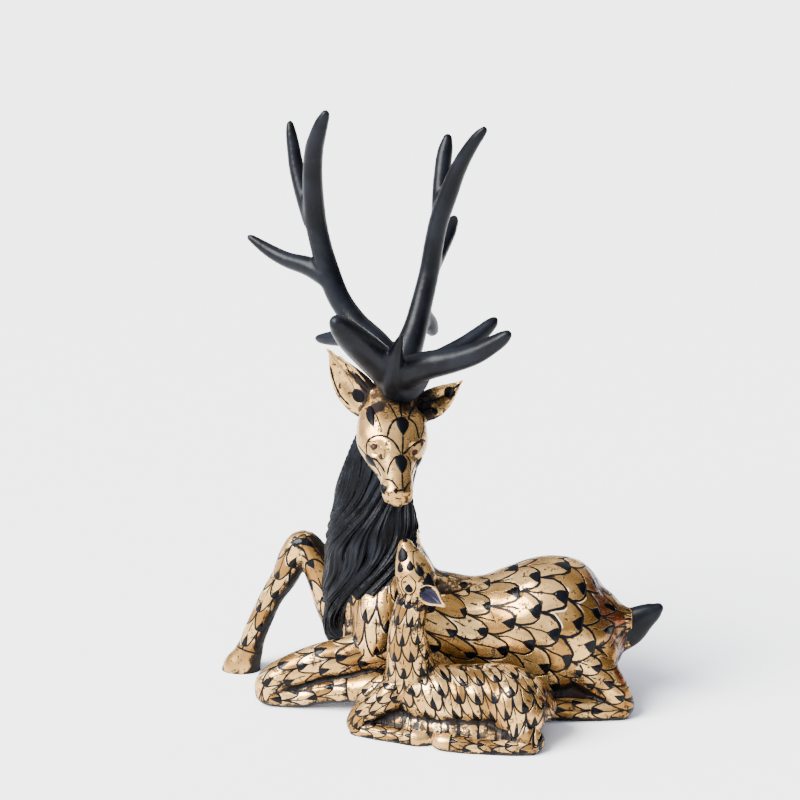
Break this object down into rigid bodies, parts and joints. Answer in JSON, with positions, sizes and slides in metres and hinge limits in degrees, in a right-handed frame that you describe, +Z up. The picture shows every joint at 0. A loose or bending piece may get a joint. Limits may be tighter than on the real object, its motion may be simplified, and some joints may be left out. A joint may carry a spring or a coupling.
{
  "type": "reclining deer figurine",
  "caption": "Moulded ornament of a stag lying with one foreleg raised and a fawn against its flank, scale-patterned gold with a black mane and black antlers.",
  "frame": {"origin": "centre of the bounding box, at the level of the surface the figurine stands on", "axes": "+Z up, -Y the side the fawn lies on and the picture was taken from, +X from the stag's chest towards its tail"},
  "size_m": [0.3314, 0.1672, 0.4303],
  "materials": {
    "gold_paint": "metallic gold paint over cast resin, with engraved lines and teardrops picked out in black; the mane and the tail are painted matt black",
    "black_paint": "satin-matt black paint over cast resin"
  },
  "bodies": {
    "root": {"stag_and_fawn": "gold_paint", "antlers": "black_paint"}
  },
  "joints": []
}
